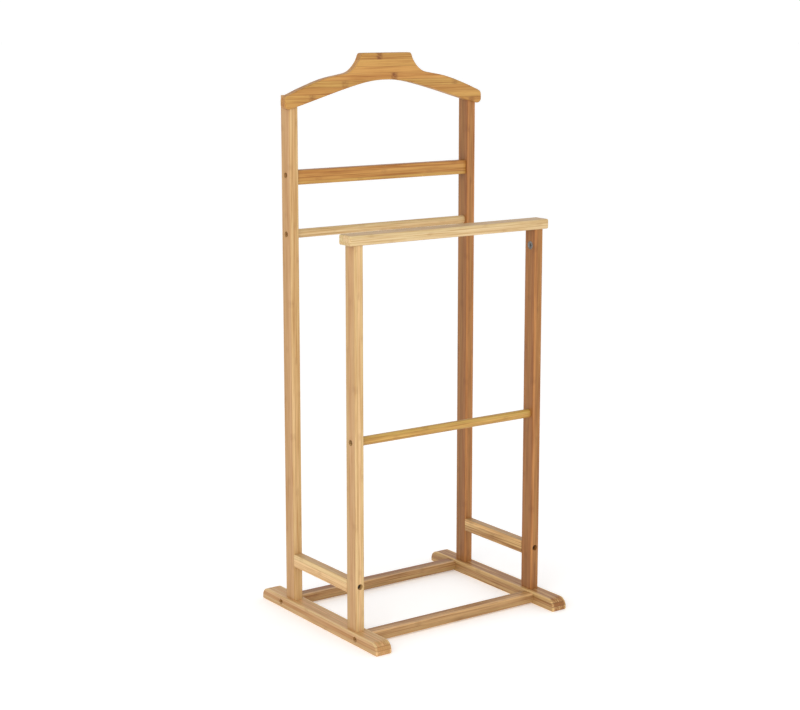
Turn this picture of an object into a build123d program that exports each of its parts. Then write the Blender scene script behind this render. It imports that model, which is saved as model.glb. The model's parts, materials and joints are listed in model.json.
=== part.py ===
from build123d import *
import os

# Valet stand in laminated bamboo, bolted and dowelled together.
# Frame: millimetres, origin on the floor at the middle of the outline, +Z up.
# The trouser bar faces -Y, and +X is to the right seen from that side.

# ---- overall frame -------------------------------------------------------------------------
STAND_H = 1020.0
POST_OUTER_X = 206.5        # outer face of every post, from the middle
POST_T = 18.0               # post thickness, across
POST_D = 29.0               # post depth, front to back
POST_Y = 102.0              # middle of the front and rear posts, from the middle
POST_X = POST_OUTER_X - POST_T / 2
POST_INNER_X = POST_OUTER_X - POST_T
EDGE_R = 2.0                # small round on every long edge

# ---- foot rails and stretchers -------------------------------------------------------------
FOOT_W = 33.0
FOOT_H = 22.0
FOOT_L = 380.0
FOOT_END_R = 16.0           # round-over of the rail's upper end edges
FOOT_EDGE_R = 2.5           # long upper edges and every edge of the underside
FOOT_INNER_X = POST_X - FOOT_W / 2
FOOT_OUTER_X = POST_X + FOOT_W / 2
STRETCHER_W = 26.0
STRETCHER_H = 17.0
STRETCHER_Y = 120.5
STRETCHER_Z = 11.5          # middle of the stretcher, which clears the floor by 3 mm

# ---- rails and rods ------------------------------------------------------------------------
SIDE_RAIL_Z0 = 86.5
SIDE_RAIL_H = 24.0
ROD_D = 16.0
FRONT_ROD_Z = 360.0
REAR_ROD_Z = 701.5
CROSS_RAIL_Z0 = 789.5
CROSS_RAIL_H = 26.0
CROSS_RAIL_T = 18.0

# ---- trouser bar ---------------------------------------------------------------------------
BAR_Z0 = 704.0
BAR_T = 18.0
BAR_W = 36.0
BAR_L = 434.0
BAR_EDGE_R = 3.0

# ---- hanger --------------------------------------------------------------------------------
HANGER_T = 18.0
HANGER_Y0 = 82.5            # front face, 5 mm proud of the posts
HANGER_Y1 = HANGER_Y0 + HANGER_T
HANGER_TOP_HALF = 55.5
HANGER_TOP_R = 5.5          # corners of the flat top
HANGER_EDGE_R = 2.5
NECK = [(57.4, 1011.4), (61.6, 1003.8), (69.8, 994.2), (80.6, 986.7), (94.0, 983.2)]
SHOULDER = [(125.0, 977.8), (160.0, 967.8), (188.0, 957.6), (203.0, 951.4)]
ARM_TIP = [(217.0, 938.5), (217.0, 932.0)]
ARM_UNDER = [(206.0, 924.0), (182.0, 930.6), (110.0, 951.3), (66.0, 962.9)]
ARCH_TOP_Z = 971.5
TONGUE_TOP_Z = 948.0        # top of the rear post behind the hanger's arm

# ---- fasteners -----------------------------------------------------------------------------
SHANK_D = 6.0
CLEAR_D = 6.6
HEAD_D = 9.6
HEAD_H = 4.5
COUNTERBORE_D = 10.6
POST_CBORE = 10.5           # counterbore depth in a post's outer side
TONGUE_CBORE = 6.5          # counterbore depth in the tongue behind the hanger
SIDE_CBORE = 12.0           # counterbore depth in a post's front or rear face
FOOT_CBORE = 12.0           # counterbore depth in a foot rail
HEX_AF = 4.0
HEX_DEPTH = 2.6
SHORT_BOLT_L = 22.0
STRETCHER_BOLT_L = 56.0
SIDE_BOLT_L = 50.0
CROSS_BOLT_L = 46.0
HANGER_BOLT_L = 18.0
TIP_ROOM = 2.0              # hole left past a bolt's tip
INSERT_D = 9.0
INSERT_L = 13.0
BARREL_D = 10.0
BARREL_L = 12.0
NUT_SETBACK = 27.0          # barrel nut's axis, from the end of its rail
DOWEL_D = 6.0
DOWEL_L = 24.0
CAM_D = 15.0
CAM_T = 12.0
CAM_DROP = 30.0             # cam's middle below the trouser bar
STUD_D = 6.0
STUD_GRIP = 10.5            # stud's thread in the trouser bar
STUD_HOLE_D = 8.0
STUD_NECK_D = 4.5
STUD_BALL_D = 6.6
FIT = 0.1                   # clearance between a fitting and its hole, on the diameter
SIDE_BOLT_Z = 102.5
SIDE_DOWEL_Z = 91.5
CROSS_BOLT_Z = 807.0
CROSS_DOWEL_Z = 796.5
STRETCHER_BOLT_Y = 123.5
STRETCHER_DOWEL_Y = 114.0
POST_DOWEL_DY = 9.0
HANGER_BOLT_Z = 938.0

SIDES = (-1, 1)
ENDS = (-1, 1)


def block(x0, x1, y0, y1, z0, z1):
    """A box between two corners, in either order."""
    size = Box(abs(x1 - x0), abs(y1 - y0), abs(z1 - z0))
    return Pos((x0 + x1) / 2, (y0 + y1) / 2, (z0 + z1) / 2) * size


def rod(start, direction, diameter, length):
    """A cylinder from a start point along a direction."""
    plane = Plane(origin=start, z_dir=direction)
    return plane * Cylinder(diameter / 2, length, align=(Align.CENTER, Align.CENTER, Align.MIN))


def turned(start, direction, profile):
    """A solid turned about an axis, from (radius, distance along the axis) points."""
    outline = Polyline(*[(r, 0, a) for r, a in profile], close=True)
    return Plane(origin=start, z_dir=direction) * revolve(make_face(outline), Axis.Z)


def round_long(solid, axis, radius):
    """The solid with its edges along one axis rounded."""
    return fillet(solid.edges().filter_by(axis), radius)


def step_from(point, direction, distance):
    """The point moved along a unit direction."""
    return tuple(p + d * distance for p, d in zip(point, direction))


def bolt(seat, direction, length):
    """A socket-head bolt whose head rests on the seat and whose shank runs along direction."""
    head_r = HEAD_D / 2
    shank_r = SHANK_D / 2
    body = turned(step_from(seat, direction, -HEAD_H), direction, [
        (0, 0),
        (head_r - 0.5, 0),
        (head_r, 0.5),
        (head_r, HEAD_H),
        (shank_r, HEAD_H),
        (shank_r, HEAD_H + length - 0.8),
        (shank_r - 0.8, HEAD_H + length),
        (0, HEAD_H + length),
    ])
    plane = Plane(origin=step_from(seat, direction, -HEAD_H), z_dir=direction)
    socket = extrude(plane * RegularPolygon(HEX_AF / 2, 6, major_radius=False), HEX_DEPTH)
    return body - socket


def bolt_hole(face, direction, counterbore, reach):
    """The counterbore and clearance hole of a bolt that enters at face and reaches to reach."""
    mouth = step_from(face, direction, -1.0)
    wide = rod(mouth, direction, COUNTERBORE_D, counterbore + 1.0)
    return wide + rod(mouth, direction, CLEAR_D, reach + 1.0)


def insert(mouth, direction):
    """A threaded insert, flush with the mouth of its hole and running along direction."""
    outer = INSERT_D / 2
    bore = (SHANK_D + FIT) / 2
    return turned(mouth, direction, [
        (bore, 0),
        (outer - 0.6, 0),
        (outer, 0.6),
        (outer, INSERT_L),
        (bore, INSERT_L),
    ])


def insert_hole(mouth, direction):
    """The hole for a threaded insert, with room past it for the bolt's tip."""
    start = step_from(mouth, direction, -0.5)
    wide = rod(start, direction, INSERT_D + FIT, INSERT_L + 0.5)
    return wide + rod(start, direction, CLEAR_D, INSERT_L + 3.0)


def barrel_nut(centre, direction, bolt_direction):
    """A barrel nut with a screwdriver slot in the end that direction points out of."""
    start = step_from(centre, direction, -BARREL_L / 2)
    body = rod(start, direction, BARREL_D, BARREL_L)
    body = chamfer(body.edges().filter_by(GeomType.CIRCLE), 0.6)
    cross = rod(step_from(centre, bolt_direction, -BARREL_D), bolt_direction, SHANK_D + FIT, 2 * BARREL_D)
    plane = Plane(origin=step_from(centre, direction, BARREL_L / 2), x_dir=bolt_direction, z_dir=direction)
    slot = plane * Box(BARREL_D + 1, 1.4, 3.0)
    return body - cross - slot


def dowel(start, direction):
    """A wood dowel with chamfered ends."""
    r = DOWEL_D / 2
    return turned(start, direction, [
        (0, 0),
        (r - 0.8, 0),
        (r, 0.8),
        (r, DOWEL_L - 0.8),
        (r - 0.8, DOWEL_L),
        (0, DOWEL_L),
    ])


def dowel_hole(start, direction):
    """The hole for a dowel, a little longer than it."""
    return rod(step_from(start, direction, -0.3), direction, DOWEL_D + FIT, DOWEL_L + 0.6)


def arm_under_z(x):
    """Height of the underside of the hanger's arm at a distance from the middle."""
    (x1, z1), (x0, z0) = ARM_UNDER[0], ARM_UNDER[1]
    return z0 + (x - x0) * (z1 - z0) / (x1 - x0)


def hanger_outline(sign):
    """Half of the hanger's outline, from the middle of the top to the middle of the arch."""
    def at(x, z):
        return (sign * x, HANGER_Y0, z)
    down = (0, 0, -1)
    steep = (sign * 0.42, 0, -1)
    rising = (-sign * (ARM_UNDER[0][0] - ARM_UNDER[1][0]), 0, ARM_UNDER[1][1] - ARM_UNDER[0][1])
    top = Line(at(0, STAND_H), at(HANGER_TOP_HALF - HANGER_TOP_R, STAND_H))
    corner_point = at(HANGER_TOP_HALF - 1.0, STAND_H - 2.2)
    corner = Spline(top @ 1, corner_point, at(*NECK[0]), tangents=[(sign, 0, 0), steep])
    shoulder_points = [at(*p) for p in NECK[1:] + SHOULDER]
    (x2, z2), (x3, z3) = SHOULDER[-2], SHOULDER[-1]
    falling = (sign * (x3 - x2), 0, z3 - z2)
    arm = Spline(corner @ 1, *shoulder_points, tangents=[steep, falling])
    nose = Spline(arm @ 1, at(*ARM_TIP[0]), tangents=[falling, down])
    end = Line(nose @ 1, at(*ARM_TIP[1]))
    tip = Spline(end @ 1, at(*ARM_UNDER[0]), tangents=[down, rising])
    under = Line(tip @ 1, at(*ARM_UNDER[1]))
    arch_points = [at(*ARM_UNDER[2]), at(*ARM_UNDER[3]), at(0, ARCH_TOP_Z)]
    arch = Spline(under @ 1, *arch_points, tangents=[rising, (-sign, 0, 0)])
    return [top, corner, arm, nose, end, tip, under, arch]


nodes = {}
holes = {}
fittings = {}


def cut(name, *solids):
    """Remembers holes to take out of a wooden piece."""
    holes.setdefault(name, []).extend(solids)


def add_fitting(name, solid):
    """Adds one more identical fitting to its group."""
    fittings.setdefault(name, []).append(solid)


# ---- foot rails ----------------------------------------------------------------------------
for side, tag in zip(SIDES, ("left", "right")):
    foot = block(side * FOOT_INNER_X, side * FOOT_OUTER_X, -FOOT_L / 2, FOOT_L / 2, 0, FOOT_H)
    top_ends = foot.edges().filter_by(Axis.X).group_by(Axis.Z)[-1]
    foot = fillet(top_ends, FOOT_END_R)
    top_face = foot.faces().sort_by(Axis.Z)[-1]
    foot = fillet(top_face.edges().filter_by(Axis.Y), FOOT_EDGE_R)
    foot = fillet(foot.faces().sort_by(Axis.Z)[0].edges(), FOOT_EDGE_R)
    nodes[f"foot_rail_{tag}"] = foot

# ---- base stretchers -----------------------------------------------------------------------
for end, tag in zip(ENDS, ("front", "rear")):
    y0 = end * STRETCHER_Y - STRETCHER_W / 2
    z0 = STRETCHER_Z - STRETCHER_H / 2
    bar = block(-FOOT_INNER_X, FOOT_INNER_X, y0, y0 + STRETCHER_W, z0, z0 + STRETCHER_H)
    nodes[f"base_stretcher_{tag}"] = round_long(bar, Axis.X, EDGE_R)

# ---- posts ---------------------------------------------------------------------------------
for side, side_tag in zip(SIDES, ("left", "right")):
    for end, end_tag in zip(ENDS, ("front", "rear")):
        top_z = BAR_Z0 if end < 0 else TONGUE_TOP_Z
        y0 = end * POST_Y - POST_D / 2
        post = block(side * POST_INNER_X, side * POST_OUTER_X, y0, y0 + POST_D, FOOT_H, top_z)
        post = round_long(post, Axis.Z, EDGE_R)
        if end > 0:
            # the hanger's arm is let into the front of the post and rests on a sloping shoulder
            x_in, x_out = POST_INNER_X - 2, POST_OUTER_X + 2
            corners = [
                (side * x_in, 0, arm_under_z(x_in)),
                (side * x_out, 0, arm_under_z(x_out)),
                (side * x_out, 0, top_z + 5),
                (side * x_in, 0, top_z + 5),
            ]
            side_view = make_face(Polyline(*corners, close=True))
            notch = extrude(Pos(0, y0 - 5, 0) * side_view, HANGER_Y1 - y0 + 5, dir=(0, 1, 0))
            post = post - notch
        nodes[f"{end_tag}_post_{side_tag}"] = post

# ---- side rails ----------------------------------------------------------------------------
for side, tag in zip(SIDES, ("left", "right")):
    rail_end = POST_Y - POST_D / 2
    rail = block(side * POST_INNER_X, side * POST_OUTER_X, -rail_end, rail_end,
                 SIDE_RAIL_Z0, SIDE_RAIL_Z0 + SIDE_RAIL_H)
    nodes[f"side_rail_{tag}"] = round_long(rail, Axis.Y, EDGE_R)

# ---- trouser bar ---------------------------------------------------------------------------
bar = block(-BAR_L / 2, BAR_L / 2, -POST_Y - BAR_W / 2, -POST_Y + BAR_W / 2, BAR_Z0, BAR_Z0 + BAR_T)
nodes["trouser_bar"] = fillet(bar.edges(), BAR_EDGE_R)

# ---- rods and cross rail -------------------------------------------------------------------
for end, z, tag in ((-1, FRONT_ROD_Z, "front_rod"), (1, REAR_ROD_Z, "rear_rod")):
    nodes[tag] = rod((-POST_INNER_X, end * POST_Y, z), (1, 0, 0), ROD_D, 2 * POST_INNER_X)

cross = block(-POST_INNER_X, POST_INNER_X, POST_Y - CROSS_RAIL_T / 2, POST_Y + CROSS_RAIL_T / 2,
              CROSS_RAIL_Z0, CROSS_RAIL_Z0 + CROSS_RAIL_H)
nodes["cross_rail"] = round_long(cross, Axis.X, EDGE_R)

# ---- hanger --------------------------------------------------------------------------------
hanger = extrude(make_face(hanger_outline(1) + hanger_outline(-1)), HANGER_T, dir=(0, 1, 0))
face_edges = hanger.faces().sort_by(Axis.Y)[0].edges() + hanger.faces().sort_by(Axis.Y)[-1].edges()
nodes["hanger"] = fillet(face_edges, HANGER_EDGE_R)

# ---- fasteners at each joint ---------------------------------------------------------------
for side, side_tag in zip(SIDES, ("left", "right")):
    inward = (-side, 0, 0)
    outward = (side, 0, 0)
    foot_name = f"foot_rail_{side_tag}"

    for end, end_tag in zip(ENDS, ("front", "rear")):
        post_name = f"{end_tag}_post_{side_tag}"
        stretcher_name = f"base_stretcher_{end_tag}"
        forward = (0, -end, 0)

        # post on its foot rail: a short bolt from below and two dowels
        bottom = (side * POST_X, end * POST_Y, 0)
        post_foot = (side * POST_X, end * POST_Y, FOOT_H)
        cut(foot_name, bolt_hole(bottom, (0, 0, 1), FOOT_CBORE, FOOT_H + 1))
        cut(post_name, insert_hole(post_foot, (0, 0, 1)))
        seat = (side * POST_X, end * POST_Y, FOOT_CBORE)
        add_fitting("short_bolts", bolt(seat, (0, 0, 1), SHORT_BOLT_L))
        add_fitting("threaded_inserts", insert(post_foot, (0, 0, 1)))
        for dy in (-POST_DOWEL_DY, POST_DOWEL_DY):
            start = (side * POST_X, end * POST_Y + dy, FOOT_H - DOWEL_L / 2)
            add_fitting("dowels", dowel(start, (0, 0, 1)))
            cut(foot_name, dowel_hole(start, (0, 0, 1)))
            cut(post_name, dowel_hole(start, (0, 0, 1)))

        # stretcher between the foot rails: a long bolt into a barrel nut, and a dowel
        mouth = (side * FOOT_OUTER_X, end * STRETCHER_BOLT_Y, STRETCHER_Z)
        seat = step_from(mouth, inward, FOOT_CBORE)
        nut_at = (side * (FOOT_INNER_X - NUT_SETBACK), end * STRETCHER_BOLT_Y, STRETCHER_Z)
        hole = bolt_hole(mouth, inward, FOOT_CBORE, FOOT_CBORE + STRETCHER_BOLT_L + TIP_ROOM)
        cut(foot_name, hole)
        cut(stretcher_name, hole)
        nut_hole_start = (nut_at[0], nut_at[1], -1)
        cut(stretcher_name, rod(nut_hole_start, (0, 0, 1), BARREL_D + FIT, STRETCHER_Z + BARREL_L / 2 + 1))
        add_fitting("stretcher_bolts", bolt(seat, inward, STRETCHER_BOLT_L))
        add_fitting("barrel_nuts", barrel_nut(nut_at, (0, 0, -1), inward))
        start = (side * (FOOT_INNER_X + DOWEL_L / 2), end * STRETCHER_DOWEL_Y, STRETCHER_Z)
        add_fitting("dowels", dowel(start, inward))
        cut(foot_name, dowel_hole(start, inward))
        cut(stretcher_name, dowel_hole(start, inward))

        # side rail between the posts: a bolt from the post's far face, and a dowel
        rail_name = f"side_rail_{side_tag}"
        rail_end_y = end * (POST_Y - POST_D / 2)
        mouth = (side * POST_X, end * (POST_Y + POST_D / 2), SIDE_BOLT_Z)
        seat = step_from(mouth, forward, SIDE_CBORE)
        nut_at = (side * POST_X, rail_end_y - end * NUT_SETBACK, SIDE_BOLT_Z)
        hole = bolt_hole(mouth, forward, SIDE_CBORE, SIDE_CBORE + SIDE_BOLT_L + TIP_ROOM)
        cut(post_name, hole)
        cut(rail_name, hole)
        nut_hole_z = SIDE_RAIL_Z0 - 1
        nut_hole = rod((nut_at[0], nut_at[1], nut_hole_z), (0, 0, 1), BARREL_D + FIT,
                       SIDE_BOLT_Z + BARREL_L / 2 - nut_hole_z)
        cut(rail_name, nut_hole)
        add_fitting("side_rail_bolts", bolt(seat, forward, SIDE_BOLT_L))
        add_fitting("barrel_nuts", barrel_nut(nut_at, (0, 0, -1), forward))
        start = (side * POST_X, rail_end_y + end * DOWEL_L / 2, SIDE_DOWEL_Z)
        add_fitting("dowels", dowel(start, forward))
        cut(post_name, dowel_hole(start, forward))
        cut(rail_name, dowel_hole(start, forward))

        # round rod between the posts: a short bolt into an insert in the rod's end
        rod_name, rod_z = ("front_rod", FRONT_ROD_Z) if end < 0 else ("rear_rod", REAR_ROD_Z)
        mouth = (side * POST_OUTER_X, end * POST_Y, rod_z)
        rod_end = (side * POST_INNER_X, end * POST_Y, rod_z)
        cut(post_name, bolt_hole(mouth, inward, POST_CBORE, POST_T + 1))
        cut(rod_name, insert_hole(rod_end, inward))
        add_fitting("short_bolts", bolt(step_from(mouth, inward, POST_CBORE), inward, SHORT_BOLT_L))
        add_fitting("threaded_inserts", insert(rod_end, inward))

    # cross rail between the rear posts: a bolt into a barrel nut, and a dowel
    post_name = f"rear_post_{side_tag}"
    mouth = (side * POST_OUTER_X, POST_Y, CROSS_BOLT_Z)
    nut_at = (side * (POST_INNER_X - NUT_SETBACK), POST_Y, CROSS_BOLT_Z)
    hole = bolt_hole(mouth, inward, POST_CBORE, POST_CBORE + CROSS_BOLT_L + TIP_ROOM)
    cut(post_name, hole)
    cut("cross_rail", hole)
    nut_hole_z = CROSS_RAIL_Z0 - 1
    cut("cross_rail", rod((nut_at[0], nut_at[1], nut_hole_z), (0, 0, 1), BARREL_D + FIT,
                          CROSS_BOLT_Z + BARREL_L / 2 - nut_hole_z))
    add_fitting("cross_rail_bolts", bolt(step_from(mouth, inward, POST_CBORE), inward, CROSS_BOLT_L))
    add_fitting("barrel_nuts", barrel_nut(nut_at, (0, 0, -1), inward))
    start = (side * (POST_INNER_X + DOWEL_L / 2), POST_Y, CROSS_DOWEL_Z)
    add_fitting("dowels", dowel(start, inward))
    cut(post_name, dowel_hole(start, inward))
    cut("cross_rail", dowel_hole(start, inward))

    # hanger on its rear post: a bolt through the tongue into an insert in the hanger's back
    tongue_back = (side * POST_X, POST_Y + POST_D / 2, HANGER_BOLT_Z)
    hanger_back = (side * POST_X, HANGER_Y1, HANGER_BOLT_Z)
    to_front = (0, -1, 0)
    cut(post_name, bolt_hole(tongue_back, to_front, TONGUE_CBORE, POST_D))
    cut("hanger", insert_hole(hanger_back, to_front))
    seat = step_from(tongue_back, to_front, TONGUE_CBORE)
    add_fitting("hanger_bolts", bolt(seat, to_front, HANGER_BOLT_L))
    add_fitting("threaded_inserts", insert(hanger_back, to_front))

    # trouser bar on its front post: a cam lock with its stud, and two dowels
    post_name = f"front_post_{side_tag}"
    cam_z = BAR_Z0 - CAM_DROP
    cam_mouth = (side * POST_INNER_X, -POST_Y, cam_z)
    cut(post_name, rod(step_from(cam_mouth, inward, 0.5), outward, CAM_D + FIT, CAM_T + 0.5))
    cut(post_name, rod((side * POST_X, -POST_Y, cam_z - 4.0), (0, 0, 1), STUD_HOLE_D, CAM_DROP + 5))
    cut("trouser_bar", rod((side * POST_X, -POST_Y, BAR_Z0 - 1), (0, 0, 1), STUD_D + FIT, STUD_GRIP + 1.5))
    cam = rod(step_from(cam_mouth, outward, 0.2), outward, CAM_D, CAM_T - 0.2)
    cam = chamfer(cam.edges().filter_by(GeomType.CIRCLE), 0.4)
    face_plane = Plane(origin=step_from(cam_mouth, outward, 0.2), z_dir=inward, x_dir=(0, 1, 0))
    driver = face_plane * (Box(8.0, 1.6, 4.0) + Box(1.6, 8.0, 4.0))
    pocket = rod((side * POST_X, -POST_Y, cam_z - 4.0), (0, 0, 1), STUD_HOLE_D, CAM_D)
    add_fitting("cam_locks", cam - driver - pocket)
    ball_r = STUD_BALL_D / 2
    neck_r = STUD_NECK_D / 2
    stud_r = STUD_D / 2
    add_fitting("cam_studs", turned((side * POST_X, -POST_Y, cam_z), (0, 0, 1), [
        (0, -ball_r),
        (ball_r - 1.2, -ball_r),
        (ball_r, -ball_r + 1.2),
        (ball_r, 1.2),
        (neck_r, 2.4),
        (neck_r, 8.0),
        (stud_r, 10.0),
        (stud_r, CAM_DROP + STUD_GRIP - 0.8),
        (stud_r - 0.8, CAM_DROP + STUD_GRIP),
        (0, CAM_DROP + STUD_GRIP),
    ]))
    for dy in (-POST_DOWEL_DY, POST_DOWEL_DY):
        start = (side * POST_X, -POST_Y + dy, BAR_Z0 - DOWEL_L / 2)
        add_fitting("dowels", dowel(start, (0, 0, 1)))
        cut(post_name, dowel_hole(start, (0, 0, 1)))
        cut("trouser_bar", dowel_hole(start, (0, 0, 1)))

# ---- take out the holes and write every piece ----------------------------------------------
for name, solids in holes.items():
    nodes[name] = nodes[name] - solids

for name, solids in fittings.items():
    nodes[name] = Compound(children=solids)

os.makedirs("parts", exist_ok=True)
for name, shape in nodes.items():
    export_step(shape, f"parts/{name}.step")
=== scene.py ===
"""Valet stand in laminated bamboo: finishes, machined fittings and a plain studio.

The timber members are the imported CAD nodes, which keep their shapes and get a bamboo
finish laid out strip by strip. The bolts, inserts, dowels and cam locks are modelled here
with their threads, sockets, barbs, flutes and recesses, each group in place of its CAD
node. The barrel nuts and cam studs keep their CAD shapes.
"""

from __future__ import annotations

import json
import logging
import math
from dataclasses import dataclass, field
from enum import Enum
from typing import Any

import bmesh
import bpy
from mathutils import Matrix, Vector

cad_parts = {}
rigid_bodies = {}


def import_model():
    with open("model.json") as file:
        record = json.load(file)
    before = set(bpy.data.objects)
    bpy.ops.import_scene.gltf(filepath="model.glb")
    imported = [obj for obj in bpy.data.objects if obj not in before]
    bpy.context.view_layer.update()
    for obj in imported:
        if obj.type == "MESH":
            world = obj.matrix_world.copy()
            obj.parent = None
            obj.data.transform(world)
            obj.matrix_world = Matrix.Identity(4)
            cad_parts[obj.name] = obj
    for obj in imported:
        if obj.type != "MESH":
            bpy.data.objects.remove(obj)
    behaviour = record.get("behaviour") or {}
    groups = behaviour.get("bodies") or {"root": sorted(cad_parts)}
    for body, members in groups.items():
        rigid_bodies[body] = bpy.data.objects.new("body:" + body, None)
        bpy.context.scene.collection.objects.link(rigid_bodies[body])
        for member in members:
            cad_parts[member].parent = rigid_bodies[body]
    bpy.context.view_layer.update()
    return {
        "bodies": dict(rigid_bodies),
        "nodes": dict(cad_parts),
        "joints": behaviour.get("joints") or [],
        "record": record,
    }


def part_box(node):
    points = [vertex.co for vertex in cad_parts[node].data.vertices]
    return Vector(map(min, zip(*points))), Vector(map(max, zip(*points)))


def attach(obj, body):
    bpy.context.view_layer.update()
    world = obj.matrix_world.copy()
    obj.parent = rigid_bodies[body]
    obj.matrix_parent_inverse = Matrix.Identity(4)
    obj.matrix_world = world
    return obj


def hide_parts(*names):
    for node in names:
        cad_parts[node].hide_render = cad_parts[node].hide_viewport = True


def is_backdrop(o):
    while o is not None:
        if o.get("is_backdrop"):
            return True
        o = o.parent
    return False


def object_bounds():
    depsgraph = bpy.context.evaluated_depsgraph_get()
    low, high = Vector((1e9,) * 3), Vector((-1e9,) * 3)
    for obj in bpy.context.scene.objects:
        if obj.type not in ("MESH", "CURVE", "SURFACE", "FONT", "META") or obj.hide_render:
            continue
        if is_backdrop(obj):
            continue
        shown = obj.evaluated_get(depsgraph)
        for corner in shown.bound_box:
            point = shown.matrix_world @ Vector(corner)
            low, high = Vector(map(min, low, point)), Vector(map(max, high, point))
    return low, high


Tree = bpy.types.NodeTree
Socket = bpy.types.NodeSocket
Shape = bmesh.types.BMesh
Edges = list[bmesh.types.BMEdge]
Sizes = tuple[float, float, float]
Colour = tuple[float, float, float, float]
Stop = tuple[float, Colour]

LOG = logging.getLogger("valet_stand")
MM = 0.001
BODY = "root"
WOOD_IOR = 1.5
# a ply's number is kept in a colour channel as this much for each ply
PLY_CODE = 1 / 16
# a Mix node's colour inputs and output, and the settings that several nodes share
MIX_A, MIX_B, MIX_OUT = 6, 7, 2
COLOURS = {"data_type": "RGBA"}
SOFT_STEP = {"interpolation_type": "SMOOTHSTEP"}


class Axis(Enum):
    """A row axis, by its place in a vector."""

    X = 0
    Y = 1
    Z = 2


class Span(Enum):
    """Which end of a fitting comes first along its own axis."""

    WIDE_END = "wide end"
    NARROW_END = "narrow end"
    INNER_END = "end nearest the middle of the stand"


def srgb(code: str) -> Colour:
    """Turns an sRGB hex colour into the linear colour that shaders use.

    Args:
        code: The colour as "#rrggbb".

    Returns:
        The linear red, green, blue and an alpha of 1.
    """
    channels = [int(code[i : i + 2], 16) / 255 for i in (1, 3, 5)]
    linear = [c / 12.92 if c <= 0.04045 else ((c + 0.055) / 1.055) ** 2.4 for c in channels]
    return (linear[0], linear[1], linear[2], 1.0)


def add_node(
    tree: Tree,
    kind: str,
    inputs: dict[int | str, Any] | None = None,
    stops: list[Stop] | None = None,
    **settings: Any,
) -> bpy.types.Node:
    """Adds a shader node with its settings, values and links.

    Args:
        tree: The node tree to add to.
        kind: The node's type, such as "ShaderNodeMath".
        inputs: Input name or number to a value, or to the socket that feeds it.
        stops: Position and colour of each stop, for a colour ramp.
        **settings: Properties of the node.

    Returns:
        The new node.
    """
    node = tree.nodes.new(kind)
    for key, value in settings.items():
        setattr(node, key, value)
    if stops:
        ramp = node.color_ramp
        while len(ramp.elements) < len(stops):
            ramp.elements.new(1.0)
        for element, (position, colour) in zip(ramp.elements, stops):
            element.position = position
            element.color = colour
    for key, value in (inputs or {}).items():
        if isinstance(value, bpy.types.NodeSocket):
            tree.links.new(value, node.inputs[key])
        else:
            node.inputs[key].default_value = value
    return node


def blank_material(name: str) -> bpy.types.Material:
    """Makes a material with no nodes in it yet.

    Args:
        name: The material's name.

    Returns:
        The material.
    """
    material = bpy.data.materials.new(name)
    material.use_nodes = True
    material.node_tree.nodes.clear()
    return material


# ---- timber --------------------------------------------------------------------------------
@dataclass(frozen=True)
class Strip:
    """One bamboo strip of a glued-up member.

    Attributes:
        tone: Its shade, from 0, the finish's light colour, to 1, its dark one.
        knot: Where its first growth node falls, as a share of the node spacing.
        knot_depth: How strongly its growth nodes show, from 0 to 1.
    """

    tone: float
    knot: float = 0.5
    knot_depth: float = 0.22


@dataclass(frozen=True)
class Layup:
    """How a member is glued up from strips.

    Attributes:
        grain: The axis that the fibres run along.
        across: The axis that the strips lie side by side along.
        strips: The strips, from the low side of that axis.
        plies: Shade added to each ply along the remaining axis, from its low side.
        shares: Each ply's share of the thickness, or nothing where they are equal.
        seam: How strongly the glue lines between plies show, from 0 to 1.
    """

    grain: Axis
    across: Axis
    strips: tuple[Strip, ...]
    plies: tuple[float, ...] = (0.0,)
    shares: tuple[float, ...] = ()
    seam: float = 0.38

    @property
    def depth(self) -> Axis:
        """The axis that the plies are stacked along."""
        return next(a for a in Axis if a not in (self.grain, self.across))

    def ply_starts(self) -> list[float]:
        """Where each ply starts, as a share of the member's thickness."""
        shares = self.shares or (1 / len(self.plies),) * len(self.plies)
        return [sum(shares[:i]) for i in range(len(self.plies))]

    def ply_rows(self) -> list[Stop]:
        """Where each ply starts, with the shade that it adds and its code."""
        pairs = enumerate(zip(self.ply_starts(), self.plies))
        return [(start, (tone, i * PLY_CODE, 0.0, 1.0)) for i, (start, tone) in pairs]

    def strip_rows(self) -> list[Stop]:
        """Where each strip starts, with its tone, first growth node and that node's depth."""
        share = 1 / len(self.strips)
        return [(i * share, (s.tone, s.knot, s.knot_depth, 1.0)) for i, s in enumerate(self.strips)]


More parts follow.
